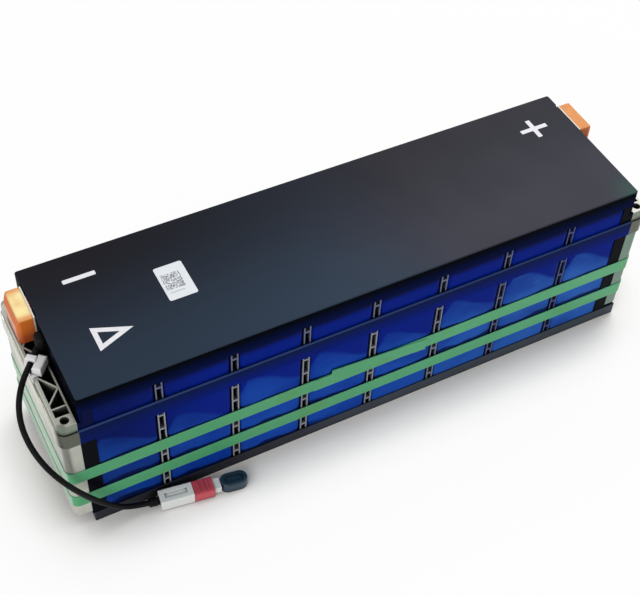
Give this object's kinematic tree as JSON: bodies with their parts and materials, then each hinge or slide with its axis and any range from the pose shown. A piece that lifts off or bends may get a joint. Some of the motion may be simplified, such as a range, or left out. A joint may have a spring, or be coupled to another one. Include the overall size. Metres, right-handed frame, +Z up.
{
  "type": "ev battery module",
  "caption": "Long box-shaped battery module: flat prismatic cells clamped between trussed end plates, with a black cover and a sampling cable.",
  "frame": {"origin": "middle of the module's footprint, on the surface it stands on", "axes": "+X along the stack of cells, from the minus terminal to the plus terminal, +Y across the module towards the side with both terminals, +Z up"},
  "size_m": [0.7155, 0.2092, 0.2105],
  "materials": {
    "cell_film": "glossy blue insulating film",
    "spacer_grey": "moulded light grey, satin",
    "busbar_aluminium": "rolled strip",
    "cover_black": "black moulded, satin",
    "tray_black": "black moulded, satin",
    "band_steel": "rolled steel band, dark sleeve on the long sides",
    "strap_green": "embossed polyester strap",
    "carrier_plastic": "moulded, satin",
    "circuit_film": "amber film circuit",
    "rubber_black": "soft black rubber",
    "clip_white": "white nylon",
    "cable_jacket": "matt black jacket",
    "connector_white": "white nylon",
    "lock_red": "red moulded",
    "cap_teal": "dark teal moulded",
    "plate_aluminium": "extruded aluminium, satin",
    "insulator_black": "black moulded",
    "output_copper": "nickel-plated copper",
    "base_white": "white moulded",
    "cap_orange": "safety-orange moulded",
    "screw_steel": "zinc-plated"
  },
  "bodies": {
    "root": {"bottom_tray": "tray_black", "busbar_1": "busbar_aluminium", "busbar_2": "busbar_aluminium", "busbar_3": "busbar_aluminium", "busbar_4": "busbar_aluminium", "busbar_5": "busbar_aluminium", "busbar_6": "busbar_aluminium", "busbar_7": "busbar_aluminium", "busbar_carrier": "carrier_plastic", "cable_clip": "clip_white", "cable_hood": "rubber_black", "cell_1": "cell_film", "cell_2": "cell_film", "cell_3": "cell_film", "cell_4": "cell_film", "cell_5": "cell_film", "cell_6": "cell_film", "cell_7": "cell_film", "cell_8": "cell_film", "connector_boot": "rubber_black", "connector_cap": "cap_teal", "connector_housing": "connector_white", "connector_lock": "lock_red", "harness_cable": "cable_jacket", "left_end_insulator": "insulator_black", "left_end_plate": "plate_aluminium", "lower_strap": "strap_green", "minus_output_bar": "output_copper", "minus_terminal_base": "base_white", "minus_terminal_cap": "cap_orange", "minus_terminal_screw": "screw_steel", "plus_output_bar": "output_copper", "plus_terminal_base": "base_white", "plus_terminal_cap": "cap_orange", "plus_terminal_screw": "screw_steel", "right_end_insulator": "insulator_black", "right_end_plate": "plate_aluminium", "sampling_circuit": "circuit_film", "spacer_1": "spacer_grey", "spacer_2": "spacer_grey", "spacer_3": "spacer_grey", "spacer_4": "spacer_grey", "spacer_5": "spacer_grey", "spacer_6": "spacer_grey", "spacer_7": "spacer_grey", "steel_band": "band_steel", "top_cover": "cover_black", "upper_strap": "strap_green"}
  },
  "joints": []
}
